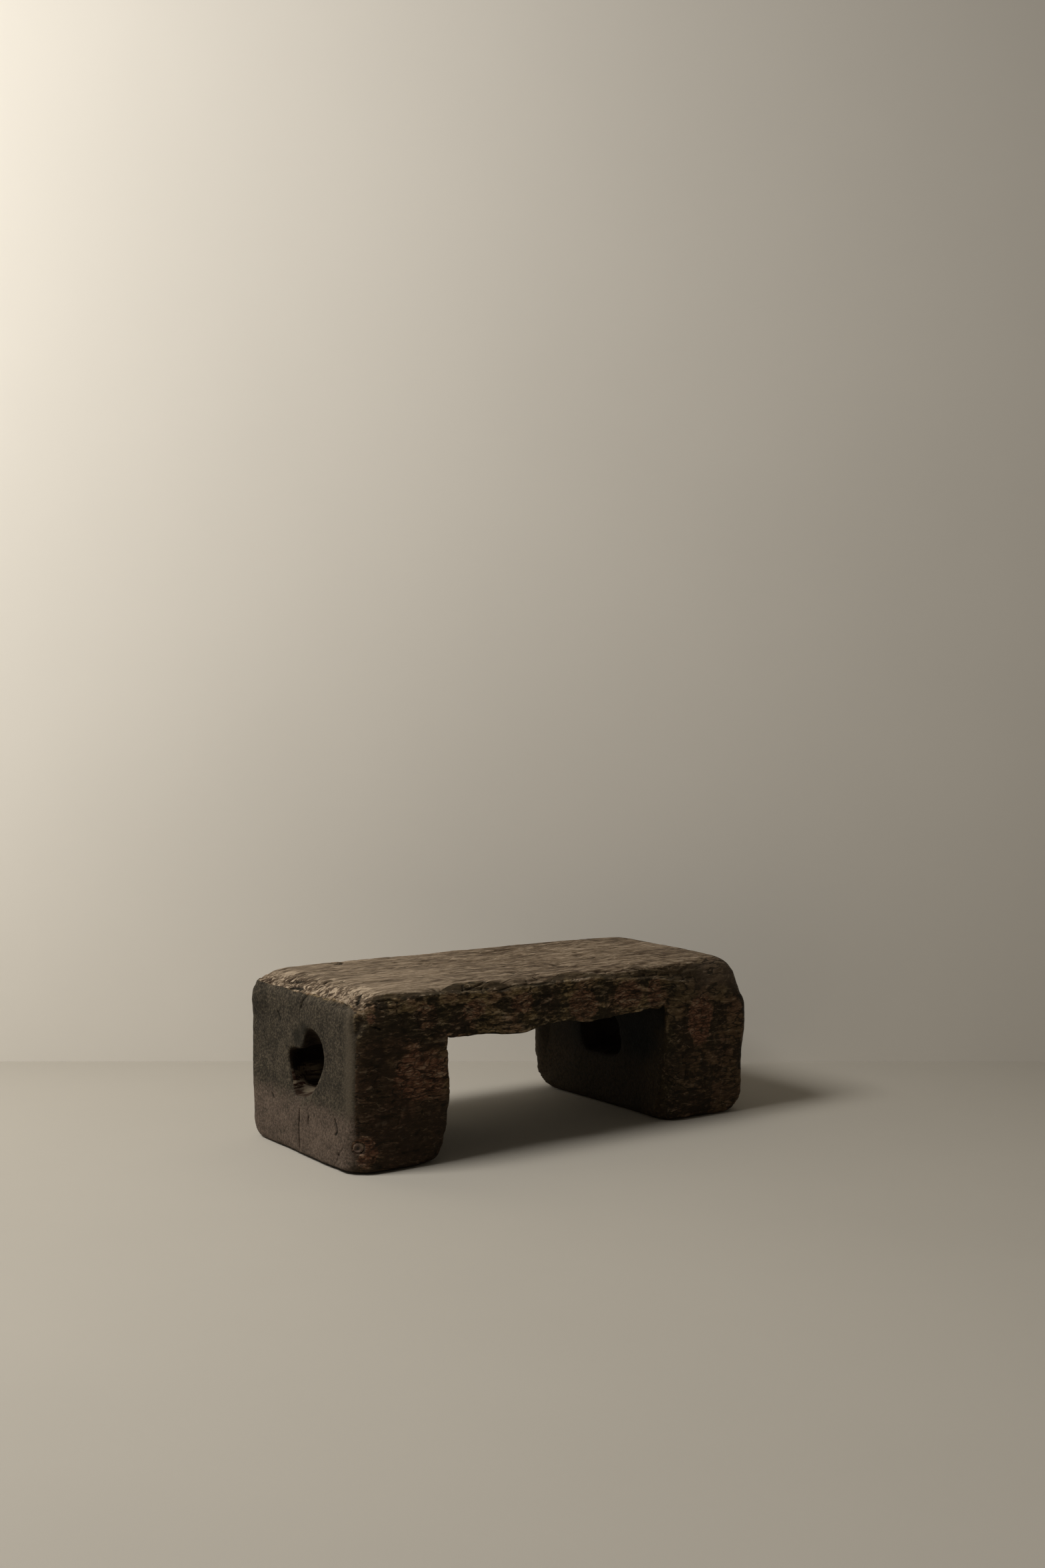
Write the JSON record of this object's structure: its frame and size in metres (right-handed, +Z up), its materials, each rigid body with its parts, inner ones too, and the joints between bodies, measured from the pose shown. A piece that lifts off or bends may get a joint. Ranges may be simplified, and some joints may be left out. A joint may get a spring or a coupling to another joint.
{
  "type": "low stool",
  "caption": "Low stool hewn from a single baulk of dark timber, with a thick worn seat slab, two block feet and a hand hole through each foot.",
  "frame": {"origin": "middle of the footprint on the floor, under the middle of the overall box", "axes": "X runs along the length of the stool and along the grain, Y from the front to the back, Z up; the soles stand on z = 0"},
  "size_m": [0.5798, 0.2806, 0.2],
  "materials": {
    "patinated_wood": "hand hewn, dark patina, worn pale on the seat",
    "knot_wood": "dead knot, dry and smooth"
  },
  "bodies": {
    "root": {"stool_timber": "patinated_wood", "corner_knot": "knot_wood"}
  },
  "joints": []
}
